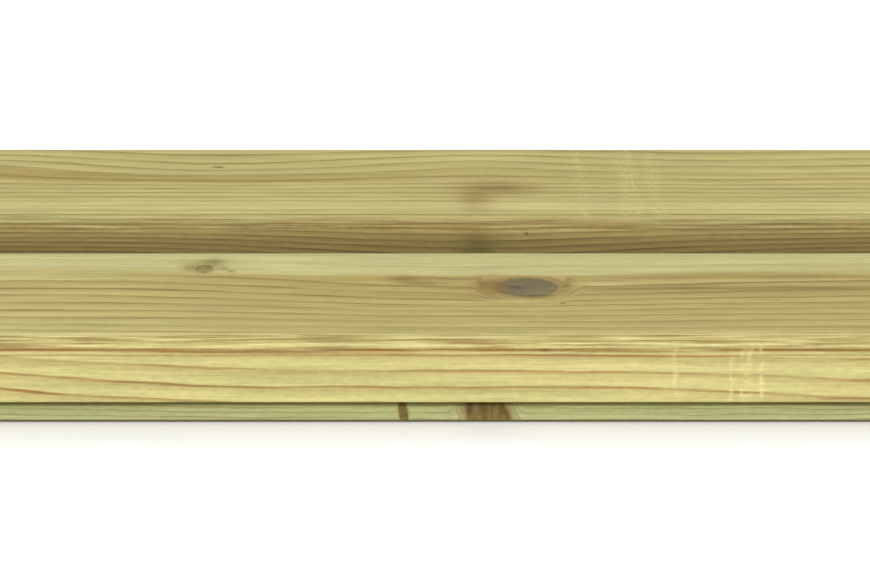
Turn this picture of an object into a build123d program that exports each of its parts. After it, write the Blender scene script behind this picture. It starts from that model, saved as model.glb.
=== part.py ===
"""Rhombus cladding board: one moulded pine board whose front reads as separate slanted slats.

Frame: +X along the board, +Y across it towards the tongue, +Z out of the back through the front.
The back lies on Z = 0, and the origin is under the middle of the board.
"""

from build123d import *
import os
from math import radians, tan

# Stock
LENGTH = 1800.0
THICKNESS = 27.0

# Slats: flat fronts, open gaps, and sides that all lean the same way
SLAT_COUNT = 2
FACE_WIDTH = 46.0
GAP_WIDTH = 19.0
SIDE_LEAN = 30.0  # degrees from square, so each slat's section is a rhombus

# Groove along the -Y edge, and the lip of wood behind it
GROOVE_HEIGHT = 5.0
GROOVE_DEPTH = 8.0
BACK_LIP_HEIGHT = 6.25
BACK_LIP_SETBACK = 6.0  # from the tip of the front lip

# Play between a tongue and the groove of the next board
TONGUE_PLAY = 0.25
NOSE_PLAY = 1.0
SHOULDER_PLAY = 1.0

# Edges, as the cutters leave them
FRONT_EDGE_RADIUS = 4.0
UNDERCUT_EDGE_RADIUS = 1.0
LIP_TIP_RADIUS = 0.6
BACK_EDGE_RADIUS = 1.5
TONGUE_NOSE_RADIUS = 1.2
INSIDE_CORNER_RADIUS = 0.8


def section_corners():
    """The section's corners as (y, z, edge radius), once round, from the groove edge of the back.

    Y starts at the sharp front corner of the slat on the groove side.
    """
    lip_underside = BACK_LIP_HEIGHT + GROOVE_HEIGHT
    tongue_top = lip_underside - TONGUE_PLAY
    tongue_bottom = BACK_LIP_HEIGHT + TONGUE_PLAY

    lean = tan(radians(SIDE_LEAN))
    lip_tip = -(THICKNESS - lip_underside) * lean
    foot_shift = (THICKNESS - tongue_top) * lean
    back_lip = lip_tip + BACK_LIP_SETBACK
    groove_end = back_lip + GROOVE_DEPTH

    # The next board repeats this one at the cover width, which keeps every gap the same.
    pitch = FACE_WIDTH + GAP_WIDTH
    cover_width = SLAT_COUNT * pitch
    shoulder = cover_width + back_lip - SHOULDER_PLAY
    nose = cover_width + groove_end - NOSE_PLAY

    corners = [
        (back_lip, 0, BACK_EDGE_RADIUS),
        (shoulder, 0, BACK_EDGE_RADIUS),
        (shoulder, tongue_bottom, INSIDE_CORNER_RADIUS),
        (nose, tongue_bottom, TONGUE_NOSE_RADIUS),
        (nose, tongue_top, TONGUE_NOSE_RADIUS),
    ]
    for slat in reversed(range(SLAT_COUNT)):
        near = slat * pitch
        far = near + FACE_WIDTH
        corners.append((far - foot_shift, tongue_top, INSIDE_CORNER_RADIUS))
        corners.append((far, THICKNESS, UNDERCUT_EDGE_RADIUS))
        corners.append((near, THICKNESS, FRONT_EDGE_RADIUS))
        if slat > 0:
            corners.append((near - foot_shift, tongue_top, INSIDE_CORNER_RADIUS))
    corners += [
        (lip_tip, lip_underside, LIP_TIP_RADIUS),
        (groove_end, lip_underside, INSIDE_CORNER_RADIUS),
        (groove_end, BACK_LIP_HEIGHT, INSIDE_CORNER_RADIUS),
        (back_lip, BACK_LIP_HEIGHT, LIP_TIP_RADIUS),
    ]
    return corners


def moulded_section():
    """The board's section in the YZ plane, with every edge and inside corner eased."""
    corners = section_corners()
    points = [(y, z) for y, z, _ in corners]
    section = make_face(Polyline(*points, close=True))
    for y, z, radius in corners:
        corner = section.vertices().sort_by_distance((y, z, 0))[0]
        section = fillet(corner, radius)
    return section


def cladding_board():
    """The section drawn along the whole length, cut square at both ends and centred across."""
    board = extrude(Plane.YZ * moulded_section(), LENGTH / 2, both=True)
    return Pos(0, -board.bounding_box().center().Y, 0) * board


os.makedirs("parts", exist_ok=True)
export_step(cladding_board(), "parts/cladding_board.step")
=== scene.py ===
"""Rhombus cladding board of treated pine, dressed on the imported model's frame.

One moulded board with its grain, knots and cutter marks, a pale studio floor, soft light and
the camera.
"""

from functools import partial
from math import exp, radians, tan
from types import SimpleNamespace

import bmesh
import bpy
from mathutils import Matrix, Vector, noise


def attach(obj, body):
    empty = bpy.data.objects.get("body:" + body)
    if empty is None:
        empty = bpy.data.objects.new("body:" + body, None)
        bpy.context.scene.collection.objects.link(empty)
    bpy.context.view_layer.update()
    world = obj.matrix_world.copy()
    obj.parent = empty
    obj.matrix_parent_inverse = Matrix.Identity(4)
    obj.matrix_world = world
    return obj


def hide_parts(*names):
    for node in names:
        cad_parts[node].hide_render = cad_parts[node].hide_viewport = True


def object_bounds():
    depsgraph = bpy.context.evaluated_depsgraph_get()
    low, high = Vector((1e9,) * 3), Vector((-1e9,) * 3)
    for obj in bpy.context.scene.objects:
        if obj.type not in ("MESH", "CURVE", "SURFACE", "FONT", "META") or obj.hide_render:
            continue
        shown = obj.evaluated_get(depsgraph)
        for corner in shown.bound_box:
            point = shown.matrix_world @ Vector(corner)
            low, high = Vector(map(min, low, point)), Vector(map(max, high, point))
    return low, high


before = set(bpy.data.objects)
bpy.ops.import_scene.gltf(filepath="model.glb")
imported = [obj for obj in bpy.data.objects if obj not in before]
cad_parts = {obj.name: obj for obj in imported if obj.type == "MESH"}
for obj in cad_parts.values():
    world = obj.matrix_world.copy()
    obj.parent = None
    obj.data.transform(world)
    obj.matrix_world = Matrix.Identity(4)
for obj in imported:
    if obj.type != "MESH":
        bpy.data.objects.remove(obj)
CAD_LOW, CAD_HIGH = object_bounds()

bl_info = {
    "name": "Rhombus cladding board",
    "version": (1, 0, 0),
    "blender": (4, 5, 0),
    "location": "View3D > Sidebar > Cladding",
    "description": "Moulds a treated pine cladding board and lays out a studio for it",
    "category": "Object",
}

MM = 1000  # millimetres in a metre

# The mesh, in metres
SHOWN_STEP = 0.0012  # round the section, on the slats and the near edge
HIDDEN_STEP = 0.006  # round the section, on the rest
CLOSE_REACH = 0.15  # half of the stretch with close cross lines
CLOSE_STEP = 0.0016  # along the board, within that stretch
FAR_STEP = 0.009  # along the board, beyond it
SLAT_FOOT = 0.0115  # height above which the slats stand free
EASING_FOOT = 0.023  # height above which the near edges are eased
NEAR_EDGE = 0.0062  # from the front lip's tip to just behind the back lip's face
FLAT_END = 0.001  # length at each end that gets no relief
LARGE_RADIUS = 0.003  # radius above which an edge gets eight segments, not four
SHARP_ANGLE = radians(40)

# Relief in mm: the washboard that planing leaves in softwood, torn fibres and small dents. Spans are
# the size of one ridge or fibre along, across and up.
WASHBOARD_DEPTH = 0.06
WASHBOARD_SPAN = (60, 2.6, 2.6)
TORN_DEPTH = 0.2
TORN_SPAN = (18, 0.7, 0.7)
DENT_DEPTH = 0.15

# Growth: rings for each millimetre across the near slat, the far slat and its far edge, and up
# through the back lip, the count at the near slat's corner, and rings for each radius of a knot.
NEAR_SLAT_RINGS = 1 / 3.8
FAR_SLAT_RINGS = 1 / 2.7
FAR_EDGE_RINGS = 1 / 4.5
LIP_RINGS = 0.45
FIRST_RING = 0.117
WRAP_RINGS = 2.6

# Small waves in the rings: length and width in mm, detail, and strength in rings.
RING_WAVES = ((70, 9, 3.0, 0.7), (12, 0.9, 2.0, 0.1))

# Places where the rings bulge: middle (x, y, z) and reach in mm, and the bulge in rings.
RING_BULGES = (
    ((20, 25, 27), (72, 15, 60), 2.0),
    ((130, 25, 27), (60, 15, 60), 0.9),
    ((-170, -6, 21), (65, 9, 60), -1.7),
    ((115, -9, 19), (45, 7, 60), 0.6),
    ((12, 57, 20), (75, 6, 60), 3.6),
    ((-150, 99, 27), (30, 10, 60), -1.0),
    ((-70, 99, 27), (38, 10, 60), 0.85),
    ((14, 99, 27), (28, 10, 60), -0.6),
    ((95, 99, 27), (40, 10, 60), 0.3),
)

# Knots: middle where the branch meets the surface, half length along the grain, half width across
# it and half height in mm, how far the branch runs along and dips across for each mm of height, the
# ring count at its bark, and how dark it is.
KNOTS = (
    ((26.3, 25.9, 27), (8.7, 5.2, 90), 0, 0.38, 9.4, 1.0),
    ((-67.4, 36.1, 27), (2.6, 2.2, 90), 0, 0.1, 10.4, 0.75),
    ((-8.9, -3, 4), (1.15, 3, 5), 0.1, 0, -6.2, 1.0),
    ((14.8, -3, 3), (6.3, 3, 6), 0.28, 0, -7.6, 1.0),
    ((-428, 20, 27), (7.0, 4.4, 90), 0, 0.3, 5.4, 0.9),
    ((-412, 88, 27), (9.0, 5.0, 90), 0, -0.5, 27.4, 1.0),
    ((436, 12, 27), (5.0, 3.4, 90), 0, 0.2, 3.3, 0.7),
    ((455, 94, 27), (7.5, 4.6, 90), 0, -0.4, 28.7, 1.0),
    ((-765, 79, 27), (6.0, 4.0, 90), 0, -0.2, 24.0, 0.8),
    ((-742, 32, 27), (3.0, 2.2, 90), 0, 0.3, 8.5, 0.6),
    ((778, 29, 27), (8.0, 5.0, 90), 0, 0.35, 7.8, 1.0),
    ((762, 84, 27), (4.0, 2.6, 90), 0, -0.2, 25.9, 0.7),
)

# Smudges: colour, middle (x, y, z) and reach in mm, and strength. Branches just under the surface,
# halos and tails of knots, strong late wood beside them, and two lines along the far slat's edge.
SMUDGES = (
    ("resin", (12.5, 76, 27), (5.5, 7, 5), 0.85),
    ("resin", (20, 84, 27), (12, 4.2, 5), 0.8),
    ("olive", (13, 61, 20), (5.5, 6, 4), 0.9),
    ("tan_wood", (-66.8, 37.6, 27), (6.0, 3.4, 20), 0.9),
    ("resin", (-9.5, 30.8, 27), (4.5, 1.7, 20), 1.0),
    ("resin", (-8, 29.6, 27), (4.0, 1.5, 20), 0.7),
    ("olive", (-4, 27.8, 27), (6, 1.2, 20), 1.0),
    ("resin", (8, 25.4, 27), (9, 0.9, 20), 0.8),
    ("resin", (15, 26.5, 27), (4.0, 4.6, 20), 1.0),
    ("resin", (16.5, 27, 27), (2.8, 4.2, 20), 1.0),
    ("resin", (37.6, 26.6, 27), (2.4, 3.8, 20), 0.6),
    ("resin", (50, 25.0, 27), (12, 0.7, 20), 0.95),
    ("resin", (74, 25.9, 27), (19, 0.9, 20), 1.0),
    ("resin", (115, 25.6, 27), (30, 1.1, 20), 1.0),
    ("late_wood", (90, 25.4, 27), (42, 0.6, 20), 0.8),
    ("olive", (50, 29.4, 27), (8, 0.6, 20), 0.6),
    ("resin", (68, 31.2, 27), (14, 0.8, 20), 0.6),
    ("resin", (104, 31.8, 27), (28, 1.1, 20), 0.75),
    ("worn_edge", (0, 72.8, 27), (4000, 3.0, 4), 0.4),
    ("late_wood", (0, 67.5, 27), (4000, 0.6, 3), 0.4),
)

# Marks over all the rest: colour, middle (x, y, z) and reach in mm, and strength. Pin knots, a pin
# hole, a nick in an edge, dark wood in knots, and stained, resinous or pale wood. On the slats, the
# marks in the knot rim's colour are also sunk a little.
MARKS = (
    ("knot_rim", (-69, 97.8, 27), (1.1, 0.6, 9), 0.85),
    ("knot_rim", (-70.5, 98.2, 27), (1.0, 0.4, 9), 0.85),
    ("knot_rim", (28, 62.7, 23), (0.5, 0.9, 0.5), 0.85),
    ("knot_rim", (30.2, -1.7, 24.1), (1.3, 0.9, 0.3), 0.85),
    ("knot_rim", (36.2, 17.7, 27), (0.7, 0.4, 9), 0.85),
    ("olive", (-8.7, -3.1, 3.6), (1.2, 3, 3.2), 0.75),
    ("knot_rim", (-8.8, -3.1, 4.9), (1.1, 3, 1.3), 0.3),
    ("knot_rim", (-8.4, -3.1, 2.4), (0.9, 3, 1.5), 0.45),
    ("knot_rim", (9.6, -3.1, 4.9), (0.8, 3, 1.6), 0.85),
    ("resin", (18.6, 26.2, 27), (2.4, 2.4, 9), 0.7),
    ("knot_rim", (23.0, 26.3, 27), (2.0, 0.9, 9), 0.45),
    ("knot_rim", (30.0, 21.8, 27), (4.5, 0.7, 9), 0.45),
    ("knot_rim", (-66.8, 37.5, 27), (1.8, 0.5, 9), 0.35),
    ("olive", (-65.2, 39.7, 27), (3.4, 2.3, 9), 0.6),
    ("olive", (-71.4, 36.6, 27), (2.5, 1.9, 9), 0.55),
    ("olive", (-61.4, 36.2, 27), (1.3, 0.8, 9), 0.5),
    ("olive", (-59.4, 34.7, 27), (1.3, 0.6, 9), 0.6),
    ("olive", (13.2, 25.6, 27), (0.7, 2.2, 9), 0.4),
    ("olive", (15.2, 22.6, 27), (1.6, 0.6, 9), 0.45),
    ("sapwood", (26, 18.6, 27), (9, 1.1, 9), 0.6),
    ("worn_edge", (30, 73.5, 27), (13, 3.0, 4), 0.35),
    ("worn_edge", (-46, 38.8, 27), (11, 3.0, 9), 0.3),
)

# Pale patches of early wood: middle (x, y, z) and reach in mm, and strength.
PALE_PATCHES = (
    ((50, 27.5, 27), (9, 2.0, 20), 0.9),
    ((-130, 31.5, 27), (50, 2.2, 20), 0.8),
    ((85, 28.6, 27), (45, 1.4, 20), 0.5),
)

# Scuffs across the grain where feed rollers bruised the fibres: place along and half width in mm,
# and strength.
FAR_SCUFFS = ((46, 2.4, 0.7), (60, 2.0, 0.8), (63, 1.2, 1.0), (69, 2.2, 0.7))
NEAR_SCUFFS = (
    (66.2, 0.7, 0.6), (81.5, 0.6, 0.6), (84.3, 0.5, 0.5), (86.5, 2.0, 0.6), (89.9, 0.6, 0.75))

# Settings that many nodes share: a soft step, and a mix of colours.
SMOOTH = {"interpolation_type": "SMOOTHSTEP"}
PAINT = {"data_type": "RGBA", "out": 2}

# Studio: the floor's half size and its drop under the back in metres, the light from all round, and
# lamps as name, place in metres and watts. The camera stands as it does in the photo.
FLOOR_HALF_SIZE = 20
FLOOR_DROP = 0.0002
SKY_STRENGTH = 0.8
LAMP_SIZE = 2.5
LAMPS = (("soft_key", (-0.5, -5.0, 2.1), 59.0), ("soft_fill", (0.5, -3.8, 4.5), 156.0))
CAMERA_PLACE = (0, -0.46245, 0.29829)
CAMERA_TILT = radians(57.407)
CAMERA_LENS = 72.762


def linear(hex_colour):
    """An sRGB hex colour as linear red, green, blue and alpha."""
    parts = [int(hex_colour[i:i + 2], 16) / 255 for i in (1, 3, 5)]
    return [p / 12.92 if p <= 0.04045 else ((p + 0.055) / 1.055) ** 2.4 for p in parts] + [1.0]


class CladdingSizes(bpy.types.PropertyGroup):
    """The board's stock, slats, groove, tongue and edges."""

    face_width: bpy.props.FloatProperty(
        name="Face width", description="Flat front of one slat, to its sharp corners",
        default=0.046, unit="LENGTH")
    gap_width: bpy.props.FloatProperty(
        name="Gap width", description="Open gap between two slats, at the front",
        default=0.019, unit="LENGTH")
    side_lean: bpy.props.FloatProperty(
        name="Side lean", description="Lean of every slat side from square",
        default=radians(30), subtype="ANGLE")
    groove_height: bpy.props.FloatProperty(
        name="Groove height", description="Opening that takes the next board's tongue",
        default=0.005, unit="LENGTH")
    groove_depth: bpy.props.FloatProperty(
        name="Groove depth", description="From the back lip to the end of the groove",
        default=0.008, unit="LENGTH")
    back_lip_height: bpy.props.FloatProperty(
        name="Back lip height", description="Wood left behind the groove",
        default=0.00625, unit="LENGTH")
    back_lip_setback: bpy.props.FloatProperty(
        name="Back lip setback", description="From the tip of the front lip to the back lip",
        default=0.006, unit="LENGTH")
    tongue_play: bpy.props.FloatProperty(
        name="Tongue play", description="Play on each side of the tongue",
        default=0.00025, unit="LENGTH")
    end_play: bpy.props.FloatProperty(
        name="End play", description="Play at the tongue's nose and at its shoulder",
        default=0.001, unit="LENGTH")
    front_edge: bpy.props.FloatProperty(
        name="Front edge", description="Radius of the slats' eased near edges",
        default=0.004, unit="LENGTH")
    undercut_edge: bpy.props.FloatProperty(
        name="Undercut edge", description="Radius of the slats' sharper far edges",
        default=0.001, unit="LENGTH")
    lip_tip: bpy.props.FloatProperty(
        name="Lip tip", description="Radius at the tips of both lips",
        default=0.00067, unit="LENGTH")
    back_edge: bpy.props.FloatProperty(
        name="Back edge", description="Radius of the two long back edges",
        default=0.0015, unit="LENGTH")
    tongue_nose: bpy.props.FloatProperty(
        name="Tongue nose", description="Radius of the tongue's two edges",
        default=0.0012, unit="LENGTH")
    inside_corner: bpy.props.FloatProperty(
        name="Inside corner", description="Radius that the cutters leave in inside corners",
        default=0.0008, unit="LENGTH")


class CladdingColours(bpy.types.PropertyGroup):
    """The colours of the treated pine and the studio."""

    sapwood: bpy.props.FloatVectorProperty(
        name="Sapwood", description="Early wood, tinted yellow-green by the treatment",
        default=linear("#B6AD70"), size=4, min=0, max=1, subtype="COLOR")
    pale_wood: bpy.props.FloatVectorProperty(
        name="Pale wood", description="Paler, greener strip along the near slat",
        default=linear("#B4AF79"), size=4, min=0, max=1, subtype="COLOR")
    # Also painted over the gap as shade
    tan_wood: bpy.props.FloatVectorProperty(
        name="Tan wood", description="Warmer wood that took up less of the treatment",
        default=linear("#A08E52"), size=4, min=0, max=1, subtype="COLOR")
    late_wood: bpy.props.FloatVectorProperty(
        name="Late wood", description="Dense dark part of each growth ring",
        default=linear("#76602C"), size=4, min=0, max=1, subtype="COLOR")
    green_wood: bpy.props.FloatVectorProperty(
        name="Green wood", description="Sawn back lip, which took up most of the treatment",
        default=linear("#A3A570"), size=4, min=0, max=1, subtype="COLOR")
    olive: bpy.props.FloatVectorProperty(
        name="Olive", description="Dense wood stained by the treatment",
        default=linear("#70632F"), size=4, min=0, max=1, subtype="COLOR")
    knot_heart: bpy.props.FloatVectorProperty(
        name="Knot heart", description="Grey middle of a dead branch",
        default=linear("#484540"), size=4, min=0, max=1, subtype="COLOR")
    knot_wood: bpy.props.FloatVectorProperty(
        name="Knot wood", description="Grey-brown end grain of a branch",
        default=linear("#5C503A"), size=4, min=0, max=1, subtype="COLOR")
    lip_knot: bpy.props.FloatVectorProperty(
        name="Lip knot", description="Brown branch wood, on the back lip and in lesser knots",
        default=linear("#644F23"), size=4, min=0, max=1, subtype="COLOR")
    # Also painted as shade at the lip's foot and on the late wood lines in the gap
    knot_rim: bpy.props.FloatVectorProperty(
        name="Knot rim", description="Bark, pin knots and the nick",
        default=linear("#4A3D22"), size=4, min=0, max=1, subtype="COLOR")
    scorch: bpy.props.FloatVectorProperty(
        name="Scorch", description="Resin burnt by the cutter along the eased edges",
        default=linear("#7F5620"), size=4, min=0, max=1, subtype="COLOR")
    # The colour of the shade painted in the groove and along the lip's lower edge
    groove: bpy.props.FloatVectorProperty(
        name="Groove", description="Raw, dirtier wood in the groove and along the back lip",
        default=linear("#6C6136"), size=4, min=0, max=1, subtype="COLOR")
    # Also the colour of the highlight painted where each easing starts
    worn_edge: bpy.props.FloatVectorProperty(
        name="Worn edge", description="Pale bruised fibres along edges and roller marks",
        default=linear("#CFC589"), size=4, min=0, max=1, subtype="COLOR")
    resin: bpy.props.FloatVectorProperty(
        name="Resin", description="Orange-brown wood full of resin",
        default=linear("#7F6231"), size=4, min=0, max=1, subtype="COLOR")
    floor: bpy.props.FloatVectorProperty(
        name="Floor", description="Matt white studio floor",
        default=linear("#FCFCFB"), size=4, min=0, max=1, subtype="COLOR")


def section_corners(sizes):
    """The section's corners as (y, z, edge radius), once round, from the groove edge of the back.

    Y starts at the sharp front corner of the slat on the groove side.
    """
    front = CAD_HIGH.z
    lip_underside = sizes.back_lip_height + sizes.groove_height
    tongue_top = lip_underside - sizes.tongue_play
    tongue_bottom = sizes.back_lip_height + sizes.tongue_play
    lean = tan(sizes.side_lean)
    lip_tip = -(front - lip_underside) * lean
    foot_shift = (front - tongue_top) * lean
    back_lip = lip_tip + sizes.back_lip_setback
    groove_end = back_lip + sizes.groove_depth
    pitch = sizes.face_width + sizes.gap_width
    shoulder = 2 * pitch + back_lip - sizes.end_play
    nose = 2 * pitch + groove_end - sizes.end_play
    corners = [
        (back_lip, 0, sizes.back_edge),
        (shoulder, 0, sizes.back_edge),
        (shoulder, tongue_bottom, sizes.inside_corner),
        (nose, tongue_bottom, sizes.tongue_nose),
        (nose, tongue_top, sizes.tongue_nose),
    ]
    for near in (pitch, 0):
        far = near + sizes.face_width
        corners.append((far - foot_shift, tongue_top, sizes.inside_corner))
        corners.append((far, front, sizes.undercut_edge))
        corners.append((near, front, sizes.front_edge))
        if near:
            corners.append((near - foot_shift, tongue_top, sizes.inside_corner))
    corners += [
        (lip_tip, lip_underside, sizes.lip_tip),
        (groove_end, lip_underside, sizes.inside_corner),
        (groove_end, sizes.back_lip_height, sizes.inside_corner),
        (back_lip, sizes.back_lip_height, sizes.lip_tip),
    ]
    return corners


def section_shift(sizes):
    """How far the section moves across so that the tongue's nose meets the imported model's."""
    return CAD_HIGH.y - max(y for y, _, _ in section_corners(sizes))


def mould_section(bm, sizes):
    """One face at the -X end with the board's section, its edges eased and its sides divided."""
    corners = section_corners(sizes)
    shift = section_shift(sizes)
    verts = [bm.verts.new((CAD_LOW.x, y + shift, z)) for y, z, _ in corners]
    bm.faces.new(verts)
    places = [vert.co.copy() for vert in verts]
    for i, vert in enumerate(verts):
        before = places[i - 1] - places[i]
        after = places[(i + 1) % len(places)] - places[i]
        radius = corners[i][2]
        bmesh.ops.bevel(
            bm, geom=[vert], offset=radius / tan(before.angle(after) / 2), offset_type="OFFSET",
            affect="VERTICES", segments=8 if radius > LARGE_RADIUS else 4, profile=0.5, material=-1)
    for edge in bm.edges[:]:
        middle = (edge.verts[0].co + edge.verts[1].co) / 2
        shown = middle.z > SLAT_FOOT or middle.y < CAD_LOW.y + NEAR_EDGE
        cuts = int(edge.calc_length() / (SHOWN_STEP if shown else HIDDEN_STEP))
        if cuts:
            bmesh.ops.subdivide_edges(bm, edges=[edge], cuts=cuts)


def draw_out(bm):
    """Draws the section out to the board's length, with closer cross lines in the middle."""
    drawn = bmesh.ops.extrude_face_region(bm, geom=bm.faces[:])["geom"]
    far_end = [part for part in drawn if isinstance(part, bmesh.types.BMVert)]
    bmesh.ops.translate(bm, verts=far_end, vec=(CAD_HIGH.x - CAD_LOW.x, 0, 0))
    for x in (-CLOSE_REACH, CLOSE_REACH):
        bmesh.ops.bisect_plane(
            bm, geom=bm.verts[:] + bm.edges[:] + bm.faces[:], plane_co=(x, 0, 0),
            plane_no=(1, 0, 0))
    lengthwise = [e for e in bm.edges if abs(e.verts[0].co.x - e.verts[1].co.x) > CLOSE_REACH]
    stretches = (
        (CAD_LOW.x, -CLOSE_REACH, FAR_STEP),
        (-CLOSE_REACH, CLOSE_REACH, CLOSE_STEP),
        (CLOSE_REACH, CAD_HIGH.x, FAR_STEP),
    )
    for low, high, step in stretches:
        zone = [e for e in lengthwise if low < (e.verts[0].co.x + e.verts[1].co.x) / 2 < high]
        cuts = round(zone[0].calc_length() / step) - 1
        bmesh.ops.subdivide_edges(bm, edges=zone, cuts=cuts, use_grid_fill=True)
    bmesh.ops.recalc_face_normals(bm, faces=bm.faces)


def unevenness(place, span):
    """Fixed noise from -1 to 1 at a place in mm, in waves of about that span."""
    return noise.noise(Vector([p / s for p, s in zip(place, span)]))


def sink_relief(bm, shift):
    """Sinks the washboard of planed softwood, torn fibres along the eased edges, and the marks.

    Every depth goes inward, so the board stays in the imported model's box. The ends stay flat.
    """
    bm.normal_update()
    for vert in bm.verts:
        place = MM * (vert.co - Vector((0, shift, 0)))
        if vert.co.z < SLAT_FOOT or CAD_HIGH.x - abs(vert.co.x) < FLAT_END:
            continue
        depth = WASHBOARD_DEPTH * (0.5 + 0.5 * unevenness(place, WASHBOARD_SPAN))
        # The easings face up and a little towards the near side
        eased = vert.normal.y < -0.2 and vert.normal.z > 0.4
        if eased and vert.co.z > EASING_FOOT:
            depth += TORN_DEPTH * max(0, unevenness(place, TORN_SPAN))
        for name, middle, reach, strength in MARKS:
            if name == "knot_rim" and abs(place.x - middle[0]) < 3 * reach[0]:
                square = sum(((p - m) / r) ** 2 for p, m, r in zip(place, middle, reach))
                depth += DENT_DEPTH * strength * exp(-square)
        vert.co -= vert.normal * depth / MM


def add(tree, kind, *inputs, out=0, **settings):
    """Adds one node with its settings and links, and gives one output, or all where out is None.

    A kind in capitals is an operation of a Math node, and a longer product is a chain of them.
    Inputs come in order, or by name in a dict.
    """
    if kind == "MULTIPLY" and len(inputs) > 2:
        inputs = add(tree, kind, *inputs[:-1]), inputs[-1]
    node = tree.nodes.new("ShaderNodeMath" if kind.isupper() else "ShaderNode" + kind)
    if kind.isupper():
        node.operation = kind
    for name, value in settings.items():
        setattr(node, name, value)
    named = inputs and isinstance(inputs[0], dict)
    for socket, source in inputs[0].items() if named else enumerate(inputs):
        if isinstance(source, bpy.types.NodeSocket):
            tree.links.new(source, node.inputs[socket])
        else:
            node.inputs[socket].default_value = source
    return node.outputs if out is None else node.outputs[out]


def bell(put, off, *sharpness):
    """1 where off is nothing, falling away on both sides, and faster where it is sharper."""
    return put("POWER", exp(-1), put("MULTIPLY", off, off, *sharpness))


def swelling(put, place, middle, reach):
    """1 at the middle, fading softly to nothing past its reach."""
    scale = [1 / r for r in reach]
    offset = [-m / r for m, r in zip(middle, reach)]
    away = put("VectorMath", place, scale, offset, operation="MULTIPLY_ADD")
    square = put("VectorMath", away, away, out="Value", operation="DOT_PRODUCT")
    return put("POWER", exp(-1), square)


def fibres(put, place, length, width, detail=2.0):
    """Soft streaks of about that length along the grain and width across it, in mm."""
    stretched = put("VectorMath", place, (1 / length, 1 / width, 1 / width), operation="MULTIPLY")
    return put("TexNoise", {"Vector": stretched, "Scale": 1.0, "Detail": detail})


def section_places(put, shift):
    """Where the surface lies in the section in mm, which way it faces, and masks of its regions.

    X runs along the board, y across it from the near slat's sharp front corner, and z up.
    """
    at = SimpleNamespace()
    at.place = put("Mapping", {
        "Vector": put("TexCoord", out="Object"), "Location": (0, -MM * shift, 0),
        "Scale": (MM, MM, MM)})
    at.x, at.y, at.z = put("SeparateXYZ", at.place, out=None)
    facing_x, facing_y, facing_z = put("SeparateXYZ", put("NewGeometry", out="Normal"), out=None)
    at.to_near = put("MULTIPLY", facing_y, -1)
    at.side = put("MapRange", at.to_near, 0.3, 0.8, **SMOOTH)
    at.ends = put("MapRange", put("ABSOLUTE", facing_x), 0.5, 0.9)
    at.back = put("MapRange", facing_z, -0.5, -0.9)
    at.lip = put(
        "MULTIPLY", put("MapRange", at.y, -1.2, -2.0, **SMOOTH), put("MapRange", at.z, 8, 7))
    at.easing = put(
        "MULTIPLY", put("MapRange", at.to_near, 0.15, 0.35, **SMOOTH),
        put("MapRange", at.z, 22.8, 24.2, **SMOOTH))

    # The near slat's pale strip: a sharp edge by the large knot, a soft wavering one beyond
    aside = put("ABSOLUTE", put("SUBTRACT", at.x, 5))
    waver = put("MapRange", aside, 38, 100, 0, 7, **SMOOTH)
    at.sway = put("MULTIPLY_ADD", put("SUBTRACT", fibres(put, at.place, 60, 4), 0.5), waver, at.y)
    at.strip_edge = put("MapRange", aside, 38, 95, 33.2, 39.0, **SMOOTH)
    at.strip = put(
        "MULTIPLY", put("MapRange", at.sway, 32.2, at.strip_edge, **SMOOTH),
        put("MapRange", at.y, 50, 46, **SMOOTH), put("MapRange", at.z, 18, 25, **SMOOTH))

    # The gap between the slats, with the far slat's near side: the mask for shade painted into the
    # gap
    at.gap = put(
        "MULTIPLY", put("MapRange", at.y, 67.6, 61.6, **SMOOTH),
        put("MapRange", at.y, 46, 47, **SMOOTH),
        put("SUBTRACT", 1.0, at.ends), put("MapRange", at.z, 9, 11))
    return at


def ring_count(put, at):
    """Growth rings counted across the section, before knots part them."""
    rings = put("MULTIPLY_ADD", at.y, NEAR_SLAT_RINGS, FIRST_RING)
    steps = ((50, FAR_SLAT_RINGS - NEAR_SLAT_RINGS), (88, FAR_EDGE_RINGS - FAR_SLAT_RINGS))
    for start, change in steps:
        past = put("MAXIMUM", put("SUBTRACT", at.y, start), 0)
        rings = put("MULTIPLY_ADD", past, change, rings)
    rings = put("ADD", rings, put("MapRange", at.y, 2, -1, 0, -0.37, **SMOOTH))
    lean = put("MapRange", at.y, 20, 58, 0.094, 0.61, **SMOOTH)
    rings = put("MULTIPLY_ADD", lean, put("SUBTRACT", at.z, 27), rings)
    rings = put("MULTIPLY_ADD", put("MINIMUM", put("SUBTRACT", at.z, 8), 0), LIP_RINGS, rings)
    for middle, reach, bulge in RING_BULGES:
        rings = put("MULTIPLY_ADD", swelling(put, at.place, middle, reach), bulge, rings)
    # Away from the middle the whole figure wanders
    drift = put("MapRange", put("ABSOLUTE", at.x), 130, 280, 0, 2.4, **SMOOTH)
    wander = put("SUBTRACT", fibres(put, at.place, 190, 22), 0.5)
    return put("MULTIPLY_ADD", wander, drift, rings)


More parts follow.
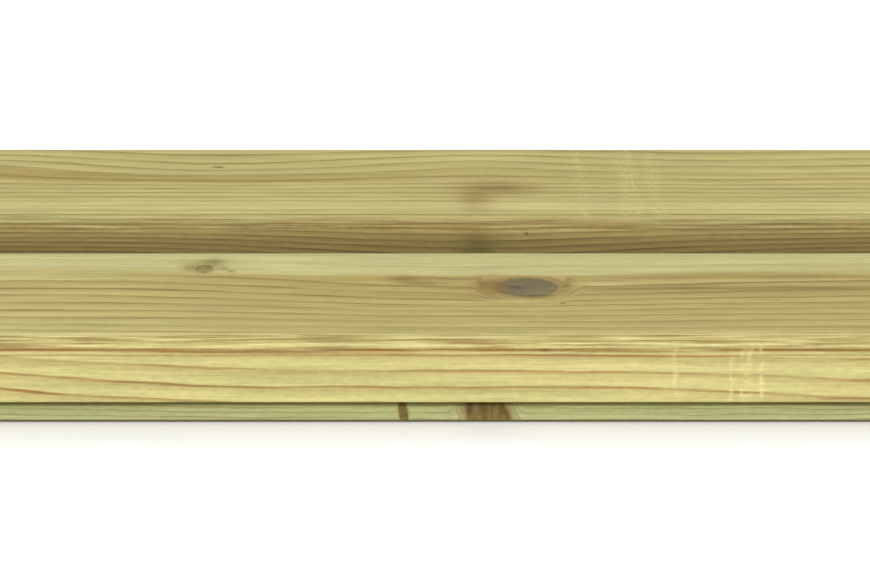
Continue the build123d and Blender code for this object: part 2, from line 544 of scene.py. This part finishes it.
def knots_in(put, place, rings):
    """Distances from the branches, where 1 is the bark, and the rings wrapped round them."""
    branches = []
    shape = put("MULTIPLY", put("SUBTRACT", fibres(put, place, 9, 5), 0.5), 0.4)
    for middle, (half_length, half_width, half_height), run, dip, bark_ring, _ in KNOTS:
        away = put("VectorMath", place, middle, operation="SUBTRACT")
        along, across, height = [
            put("VectorMath", away, way, out="Value", operation="DOT_PRODUCT") for way in (
                (1 / half_length, 0, run / half_length),
                (0, 1 / half_width, dip / half_width),
                (0, 0, 1 / half_height))]
        square = put("MULTIPLY_ADD", along, along, put("MULTIPLY", across, across))
        square = put("MULTIPLY_ADD", height, height, square)
        branch = put("ADD", put("SQRT", square), shape)
        branches.append(branch)
        hold = put("MULTIPLY_ADD", square, square, 1.0)
        rings = put("MULTIPLY_ADD", put("DIVIDE", across, hold), -half_width * 0.22, rings)
        wrap = put("MapRange", branch, 1.9, 1.0, 0, 1, **SMOOTH)
        wrapped = put("MULTIPLY_ADD", branch, WRAP_RINGS, bark_ring - WRAP_RINGS)
        rings = put("Mix", {0: wrap, 2: rings, 3: wrapped})
    return branches, rings


def waved(put, at, rings):
    """The rings with the small waves of real growth in them, and more of them on the back lip."""
    lip_wave = put("MULTIPLY", put("SUBTRACT", fibres(put, at.place, 24, 5), 0.5), at.lip)
    rings = put("MULTIPLY_ADD", lip_wave, 1.3, rings)
    for length, width, detail, strength in RING_WAVES:
        wave = put("SUBTRACT", fibres(put, at.place, length, width, detail), 0.5)
        rings = put("MULTIPLY_ADD", wave, strength, rings)
    return rings


def late_wood_share(put, at, rings):
    """Late wood: in each year a soft rise to a dark line, and a quick return to early wood."""
    year = put("FLOOR", rings)
    season = put("SUBTRACT", rings, year)
    year_tone = put("TexWhiteNoise", {"W": year}, out="Value", noise_dimensions="1D")
    broken = fibres(put, at.place, 45, 2.0, 3.0)
    by_edge = bell(put, put("MULTIPLY", put("SUBTRACT", at.y, 6.5), 0.2))
    line = put(
        "MULTIPLY", put("MapRange", season, 0.64, 0.89, **SMOOTH),
        put("MapRange", season, 0.91, 1.0, 1, 0, **SMOOTH),
        put("MapRange", at.y, 50, 68, 1.0, 0.8),
        put("MapRange", by_edge, 0, 1, 1.0, 0.55),
        put("MapRange", broken, 0.35, 0.6, 0.6, 1.1, **SMOOTH),
        put("MapRange", year_tone, 0, 1, 0.65, 1.0))
    # In the gap the soft rise before each line is half as strong again: painted shade
    rise = put(
        "MULTIPLY", put("MapRange", season, 0.25, 0.95, 0, 0.32, **SMOOTH),
        put("MapRange", season, 0.93, 1.0, 1, 0, **SMOOTH),
        put("MapRange", at.gap, 0, 1, 1.0, 1.5))
    calm = put(
        "MULTIPLY", put("MapRange", at.sway, 30.6, 32.6, **SMOOTH), put("MapRange", at.y, 50, 46))
    return put(
        "MULTIPLY", put("MAXIMUM", line, rise), put("MapRange", calm, 0, 1, 1.0, 0.2),
        put("MapRange", at.lip, 0, 1, 1.0, 0.6))


def tan_wood_share(put, at, rings):
    """Less treated wood on the near slat's front half and the far slat's band, and painted shade in
    the gap.
    """
    near = put(
        "MULTIPLY", put("MapRange", at.sway, at.strip_edge, 32.2, **SMOOTH),
        put("MapRange", at.y, 26, 6, 0.95, 0.6, **SMOOTH),
        put("MapRange", at.y, -1, 1, **SMOOTH),
        put("MapRange", at.x, -110, -20, 0.6, 1.0, **SMOOTH))
    band = put(
        "MULTIPLY", put("MapRange", rings, 28.9, 28.6, **SMOOTH),
        put("MapRange", rings, 26.4, 28.2, **SMOOTH),
        put("MapRange", at.x, 20, -60, 0.45, 1.0, **SMOOTH))
    band = put("MAXIMUM", band, put("MapRange", at.y, 64, 72, 0, 0.2, **SMOOTH))
    # Tan over the whole gap is painted shade
    share = put("MAXIMUM", near, put("MAXIMUM", band, at.gap))
    share = put("MULTIPLY", share, put("MapRange", at.z, 6, 14, 0.45, 1.0, **SMOOTH))
    for middle, reach, strength in PALE_PATCHES:
        patch = put("MULTIPLY", swelling(put, at.place, middle, reach), strength)
        share = put("MULTIPLY", share, put("SUBTRACT", 1.0, patch))
    return share


def smudge_layers(put, at, colours):
    """Smudges, streaky along the grain."""
    layers = []
    streaks = fibres(put, at.place, 30, 1.0, 3.0)
    for name, middle, reach, strength in SMUDGES:
        smudge = put("MULTIPLY", swelling(put, at.place, middle, reach),
                     put("MapRange", streaks, 0.35, 0.62, strength * 0.55, strength))
        layers.append((smudge, getattr(colours, name)))
    return layers


def knot_layers(put, at, colours, branches):
    """A warm halo, split brown wood or, in dead knots, grey rings round a heart, and thin bark."""
    layers = []
    splits = fibres(put, at.place, 1.6, 9)
    beside_strip = put("SUBTRACT", 1.0, at.strip)
    for branch, (middle, *_, darkness) in zip(branches, KNOTS):
        halo = put("MapRange", branch, 1.0, 1.55, 0.55 * darkness, 0, **SMOOTH)
        layers.append((put("MULTIPLY", halo, beside_strip), colours.resin))
        core = put("MapRange", branch, 0.5 + 0.36 * darkness, 1.1, 0.92 * darkness, 0, **SMOOTH)
        if darkness == 1.0 and middle[2] > 10:
            heart = put("MapRange", branch, 0.12, 0.55, **SMOOTH)
            branch_rings = put("MULTIPLY", put("SINE", put("MULTIPLY", branch, 34.0)), 0.28)
            heart = put("ADD", heart, branch_rings, use_clamp=True)
            wood = put("Mix", {0: heart, 6: colours.knot_heart, 7: colours.knot_wood}, **PAINT)
        else:
            core = put("MULTIPLY", core, put("MapRange", splits, 0.35, 0.6, 0.7, 1.05, **SMOOTH))
            wood = colours.lip_knot
        layers.append((core, wood))
        bark = bell(put, put("MULTIPLY", put("SUBTRACT", branch, 0.94), 10.0))
        bark = put("MULTIPLY", bark, put("MapRange", splits, 0.4, 0.6, 0.1, 0.55 * darkness))
        layers.append((bark, colours.knot_rim))
    return layers


def edge_layers(put, at, colours):
    """Streaky torn fibres on the easing, a pale painted highlight with wear above, and a scorched
    line below.
    """
    near_to_far = (at.y, 20, 60)
    streaks = fibres(put, at.place, 22, 0.6, 3.0)
    pale = put(
        "MULTIPLY", at.easing, put("MapRange", streaks, 0.5, 0.66, 0, 0.75, **SMOOTH),
        put("MapRange", *near_to_far, 1.0, 0.5))
    dark = put(
        "MULTIPLY", at.easing, put("MapRange", streaks, 0.5, 0.34, 0, 0.65, **SMOOTH),
        put("MapRange", *near_to_far, 1.0, 0.6))
    # A pale line where the easing starts: painted highlight, with some worn fibres
    highlight_and_wear = put(
        "MULTIPLY", bell(put, put("SUBTRACT", at.to_near, 0.12), 140.0),
        put("MapRange", at.z, 26.0, 26.7, **SMOOTH),
        put("MapRange", *near_to_far, 1.0, 0.15),
        put("MapRange", fibres(put, at.place, 16, 2.5), 0.3, 0.6, 0.55, 1.0))
    rise = fibres(put, at.place, 55, 30)
    line = put("MULTIPLY_ADD", rise, 0.8, put("MapRange", *near_to_far, 23.7, 25.2))
    off_line = put("SUBTRACT", at.z, line)
    scorch = put(
        "MULTIPLY", bell(put, off_line, put("MapRange", *near_to_far, 5.0, 16.0)),
        put("MapRange", rise, 0.36, 0.56, 0.4, 1.0, **SMOOTH),
        put("MapRange", *near_to_far, 1.0, 0.75))
    thin = bell(put, put("ADD", off_line, 1.25), 22.0)
    scorch = put("MAXIMUM", scorch, put("MULTIPLY", thin, 0.5))
    scorch = put("MULTIPLY", scorch, put("MapRange", at.to_near, 0.5, 0.8, **SMOOTH))
    return [(pale, colours.worn_edge), (dark, colours.resin), (highlight_and_wear, colours.worn_edge),
            (scorch, colours.scorch)]


def groove_shade_layers(put, at, colours):
    """Painted shade in the groove, along the lip's lower edge and at its foot."""
    # Shade painted lightly into the groove
    groove = put(
        "MULTIPLY", put("MapRange", at.y, -3.05, -2.6, **SMOOTH),
        put("MapRange", at.z, 12, 11.4, **SMOOTH),
        put("MapRange", at.z, 5.6, 6.1, **SMOOTH), put("MapRange", at.y, 8, 6, **SMOOTH))
    # Shade painted along the lip's lower edge
    lip_edge_shade = put("MULTIPLY", at.lip, put("MapRange", at.z, 1.6, 1.2, 0, 0.85, **SMOOTH))
    groove_and_edge_shade = put("MAXIMUM", put("MULTIPLY", groove, 0.2), lip_edge_shade)
    # Shade painted at the lip's foot, in the knot rim's colour
    foot_shade = put(
        "MULTIPLY", put("MapRange", at.y, -1.2, -1.6),
        put("MapRange", at.z, 1.4, 0.95, 0, 0.75, **SMOOTH), put("SUBTRACT", 1.0, at.ends))
    return [(groove_and_edge_shade, colours.groove), (foot_shade, colours.knot_rim)]


def mark_layers(put, at, colours):
    """Marks over all the rest of the wood."""
    layers = []
    for name, middle, reach, strength in MARKS:
        mark = put("MULTIPLY", swelling(put, at.place, middle, reach), strength)
        layers.append((mark, getattr(colours, name)))
    return layers


def scuff_layers(put, at, colours):
    """Scuffs: pale bruised fibres in wavering lines across the grain."""
    layers = []
    spots = put("MapRange", fibres(put, at.place, 0.9, 1.8, 2.0), 0.48, 0.7, 0.06, 0.6, **SMOOTH)
    smears = put("MapRange", fibres(put, at.place, 1.5, 2.2, 3.0), 0.36, 0.66, 0.05, 0.75, **SMOOTH)
    bent = put("MULTIPLY_ADD", put("SUBTRACT", fibres(put, at.place, 30, 2.5), 0.5), 2.2, at.x)
    for scuffs, low, high, bruise in (
            (FAR_SCUFFS, 66, 112, spots), (NEAR_SCUFFS, -12, -1, smears)):
        inside = put(
            "MULTIPLY", put("MapRange", at.y, low - 1, low + 1, **SMOOTH),
            put("MapRange", at.y, high + 1, high - 1, **SMOOTH),
            put("MapRange", at.z, 11, 12), bruise)
        for middle, half_width, strength in scuffs:
            off = put("DIVIDE", put("SUBTRACT", bent, middle), half_width)
            layers.append((put("MULTIPLY", bell(put, off), strength, inside), colours.worn_edge))
    return layers


def treated_pine(colours, shift):
    """Planed treated pine.

    Softwood planed by rotary cutters after sawing, then tinted yellow-green by pressure treatment:
    matt, with dark late-wood lines, fine fibre streaks, brown knots and resin along the cut edges.
    """
    material = bpy.data.materials.new("treated_pine_planed")
    material.use_nodes = True
    tree = material.node_tree
    put = partial(add, tree)
    shader = tree.nodes["Principled BSDF"]

    at = section_places(put, shift)
    branches, rings = knots_in(put, at.place, ring_count(put, at))
    rings = waved(put, at, rings)
    late = late_wood_share(put, at, rings)
    dense = put("Mix", {0: at.side, 6: colours.late_wood, 7: colours.scorch}, **PAINT)
    dense = put("Mix", {0: at.lip, 6: dense, 7: colours.olive}, **PAINT)
    # In the gap the late wood lines go towards the knot rim's dark colour: painted shade
    dense = put("Mix", {0: put("MULTIPLY", at.gap, 0.55), 6: dense, 7: colours.knot_rim}, **PAINT)

    # Layers of colour as (mask, colour), each laid over the ones before
    layers = [
        (tan_wood_share(put, at, rings), colours.tan_wood), (at.strip, colours.pale_wood),
        (at.lip, colours.green_wood), (late, dense),
        *smudge_layers(put, at, colours), *knot_layers(put, at, colours, branches),
        *edge_layers(put, at, colours), *groove_shade_layers(put, at, colours),
        *mark_layers(put, at, colours), *scuff_layers(put, at, colours)]
    colour = colours.sapwood
    for mask, over in layers:
        colour = put("Mix", {0: mask, 6: colour, 7: over}, **PAINT)

    # Single fibres, about 0.03 mm wide, are too fine to show, so they are drawn as wider streaks
    # and torn specks that lighten and darken the whole surface
    fine = put("MapRange", fibres(put, at.place, 26, 0.5, 3.0), 0.35, 0.65, 0.9, 1.1)
    wide = put("MapRange", fibres(put, at.place, 90, 2.6, 2.0), 0.35, 0.65, 0.93, 1.07)
    speck = put("SUBTRACT", fibres(put, at.place, 2.6, 1.0, 5.0), 0.5)
    speck = put("MULTIPLY_ADD", speck, put("MapRange", at.side, 0, 1, 0.2, 0.4), 1.0)
    # Painted shade deeper into the gap and on the far slat's eased edge; the sawn ends are darker
    # wood
    gap_painted_shade = put("MapRange", at.z, 25.5, 18.5, 0.16, 0.36)
    far_easing_painted_shade = put(
        "MULTIPLY", put("MapRange", at.y, 20, 60),
        put("MapRange", at.z, 24.8, 25.6, **SMOOTH), at.easing)
    shade = put(
        "MULTIPLY", fine, wide, speck, put("SUBTRACT", 1.0, put("MULTIPLY", at.gap, gap_painted_shade)),
        put("MapRange", at.ends, 0, 1, 1.0, 0.75), put("MapRange", far_easing_painted_shade, 0, 1, 1.0, 0.84))
    colour = put("VectorMath", {0: colour, "Scale": shade}, operation="SCALE")
    tree.links.new(colour, shader.inputs["Base Color"])

    # Relief: fibres and specks, with saw marks across the back and the back lip
    sawn = put("MAXIMUM", at.back, at.lip)
    saw_marks = put("MULTIPLY", fibres(put, at.place, 0.7, 50), sawn)
    relief = put("ADD", put("ADD", fine, speck), saw_marks)
    bump = put("Bump", {"Strength": 0.25, "Distance": 0.0002, "Height": relief})
    tree.links.new(bump, shader.inputs["Normal"])
    # Dense late wood planes smoother than early wood, and the sawn ends are the roughest
    rough = put("MAXIMUM", put("MapRange", late, 0, 1, 0.75, 0.6), put("MULTIPLY", at.ends, 0.9))
    tree.links.new(rough, shader.inputs["Roughness"])
    shader.inputs["Specular IOR Level"].default_value = 0.25
    return material


class CLADDING_OT_mould_board(bpy.types.Operator):
    """Moulds the board from its section and gives it its treated pine"""

    bl_idname = "cladding.mould_board"
    bl_label = "Mould board"

    def execute(self, context):
        sizes = context.scene.cladding_sizes
        bm = bmesh.new()
        mould_section(bm, sizes)
        draw_out(bm)
        sink_relief(bm, section_shift(sizes))
        mesh = bpy.data.meshes.new("moulded_board")
        bm.to_mesh(mesh)
        bm.free()
        mesh.shade_smooth()
        mesh.set_sharp_from_angle(angle=SHARP_ANGLE)
        board = bpy.data.objects.new("moulded_board", mesh)
        context.scene.collection.objects.link(board)
        mesh.materials.append(treated_pine(context.scene.cladding_colours, section_shift(sizes)))
        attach(board, "root")
        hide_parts("cladding_board")
        return {"FINISHED"}


class CLADDING_OT_set_stage(bpy.types.Operator):
    """Lays out the pale floor, the soft light and the camera"""

    bl_idname = "cladding.set_stage"
    bl_label = "Set stage"

    def execute(self, context):
        scene = context.scene
        bm = bmesh.new()
        bmesh.ops.create_grid(bm, x_segments=1, y_segments=1, size=FLOOR_HALF_SIZE)
        bmesh.ops.translate(bm, verts=bm.verts[:], vec=(0, 0, -FLOOR_DROP))
        mesh = bpy.data.meshes.new("studio_floor")
        bm.to_mesh(mesh)
        bm.free()
        floor = bpy.data.objects.new("studio_floor", mesh)
        scene.collection.objects.link(floor)
        # Matt white floor paint, rolled on: even and chalky, with no gloss
        paint = bpy.data.materials.new("matt_white_paint")
        paint.use_nodes = True
        shader = paint.node_tree.nodes["Principled BSDF"]
        shader.inputs["Base Color"].default_value = scene.cladding_colours.floor
        shader.inputs["Roughness"].default_value = 0.9
        shader.inputs["Specular IOR Level"].default_value = 0.0
        mesh.materials.append(paint)

        world = bpy.data.worlds.new("soft_box")
        world.use_nodes = True
        background = world.node_tree.nodes["Background"]
        background.inputs["Color"].default_value = (1, 1, 1, 1)
        background.inputs["Strength"].default_value = SKY_STRENGTH
        scene.world = world

        for name, place, energy in LAMPS:
            lamp = bpy.data.lights.new(name, "AREA")
            lamp.shape = "DISK"
            lamp.size = LAMP_SIZE
            lamp.energy = energy
            light = bpy.data.objects.new(name, lamp)
            light.location = place
            light.rotation_euler = light.location.to_track_quat("Z", "Y").to_euler()
            scene.collection.objects.link(light)

        lens = bpy.data.cameras.new("photo_camera")
        lens.sensor_width = 36
        lens.lens = CAMERA_LENS
        lens.clip_start = 0.01
        camera = bpy.data.objects.new("photo_camera", lens)
        camera.location = CAMERA_PLACE
        camera.rotation_euler = (CAMERA_TILT, 0, 0)
        scene.collection.objects.link(camera)
        scene.camera = camera
        scene.view_settings.view_transform = "Standard"
        return {"FINISHED"}


class CLADDING_PT_panel(bpy.types.Panel):
    """Sizes, colours and steps of the cladding board"""

    bl_idname = "CLADDING_PT_panel"
    bl_label = "Cladding board"
    bl_space_type = "VIEW_3D"
    bl_region_type = "UI"
    bl_category = "Cladding"

    def draw(self, context):
        layout = self.layout
        for group in (context.scene.cladding_sizes, context.scene.cladding_colours):
            box = layout.box()
            for name in group.__annotations__:
                box.prop(group, name)
        layout.operator("cladding.mould_board")
        layout.operator("cladding.set_stage")


CLASSES = (
    CladdingSizes,
    CladdingColours,
    CLADDING_OT_mould_board,
    CLADDING_OT_set_stage,
    CLADDING_PT_panel,
)


def register():
    for cls in CLASSES:
        bpy.utils.register_class(cls)
    bpy.types.Scene.cladding_sizes = bpy.props.PointerProperty(type=CladdingSizes)
    bpy.types.Scene.cladding_colours = bpy.props.PointerProperty(type=CladdingColours)


def unregister():
    del bpy.types.Scene.cladding_colours
    del bpy.types.Scene.cladding_sizes
    for cls in reversed(CLASSES):
        bpy.utils.unregister_class(cls)


def main():
    register()
    bpy.ops.cladding.mould_board()
    bpy.ops.cladding.set_stage()


if __name__ == "__main__":
    main()
